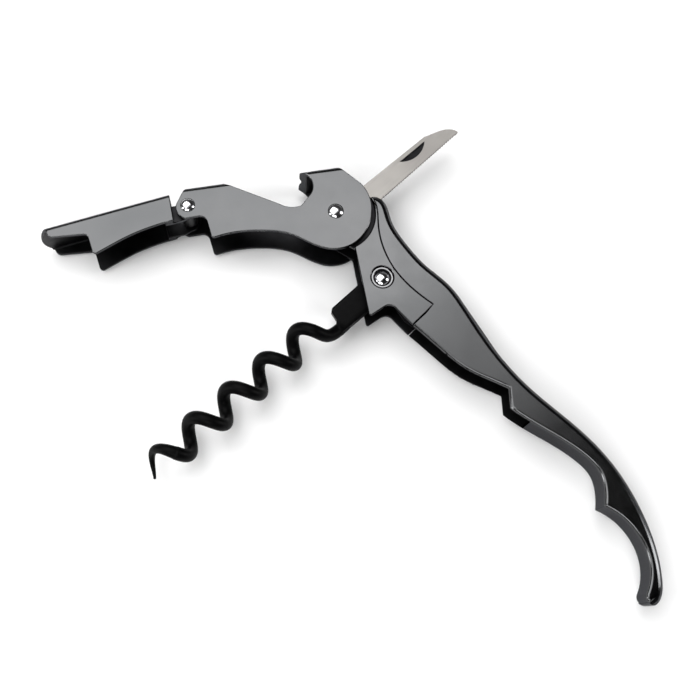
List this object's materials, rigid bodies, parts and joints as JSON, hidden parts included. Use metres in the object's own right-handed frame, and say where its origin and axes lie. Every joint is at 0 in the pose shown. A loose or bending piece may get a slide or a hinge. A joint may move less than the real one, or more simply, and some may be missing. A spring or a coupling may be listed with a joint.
{
  "type": "waiters corkscrew",
  "caption": "Folding waiter's corkscrew with a curved cast handle, double-hinged lever, bottle opener, coated worm and small serrated foil blade, shown opened out.",
  "frame": {"origin": "centre of the bottom of the bounding box, with the tool lying on its side", "axes": "+X along the opened tool from the end lever's tip to the tail, +Y towards the spine and blade, +Z across the sheet metal along every pivot"},
  "size_m": [0.14, 0.1132, 0.0132],
  "materials": {
    "gunmetal": "polished black nickel plating",
    "rivet_steel": "bright polished",
    "washer_steel": "plain",
    "worm_coating": "satin black non-stick coating on steel",
    "blade_steel": "satin"
  },
  "bodies": {
    "handle": {"handle_shell": "gunmetal", "bracket_near": "gunmetal", "bracket_far": "gunmetal", "pivot_rivet": "rivet_steel", "pivot_washer_near": "washer_steel", "pivot_washer_far": "washer_steel", "blade_spacer_near": "washer_steel", "blade_spacer_far": "washer_steel", "worm_rivet": "rivet_steel", "worm_seat_near": "rivet_steel", "worm_seat_far": "rivet_steel", "worm_spacer": "washer_steel", "worm_washer": "washer_steel"},
    "lever": {"upper_lever": "gunmetal", "hinge_rivet": "rivet_steel", "hinge_washer_near": "washer_steel", "hinge_washer_far": "washer_steel", "hinge_spacer": "washer_steel"},
    "end": {"end_lever": "gunmetal"},
    "worm_body": {"worm": "worm_coating"},
    "blade_body": {"blade": "blade_steel"}
  },
  "joints": [
    {"name": "lever_fold", "type": "hinge", "parent": "handle", "child": "lever", "pos_m": [-0.00214, 0.03219, 0.0066], "axis": [0, 0, 1], "range_deg": [-21, 112]},
    {"name": "end_fold", "type": "hinge", "parent": "lever", "child": "end", "pos_m": [-0.03634, 0.03252, 0.0066], "axis": [0, 0, 1], "range_deg": [-42, 0]},
    {"name": "worm_fold", "type": "hinge", "parent": "handle", "child": "worm_body", "pos_m": [0.0088, 0.01666, 0.0066], "axis": [0, 0, 1], "range_deg": [-15.12, 80.64]},
    {"name": "blade_fold", "type": "hinge", "parent": "handle", "child": "blade_body", "pos_m": [-0.00214, 0.03219, 0.0066], "axis": [0, 0, 1], "range_deg": [-80, 0]}
  ],
  "couplings": [
    {"joint": "worm_fold", "follows": "lever_fold", "ratio": 0.72}
  ]
}
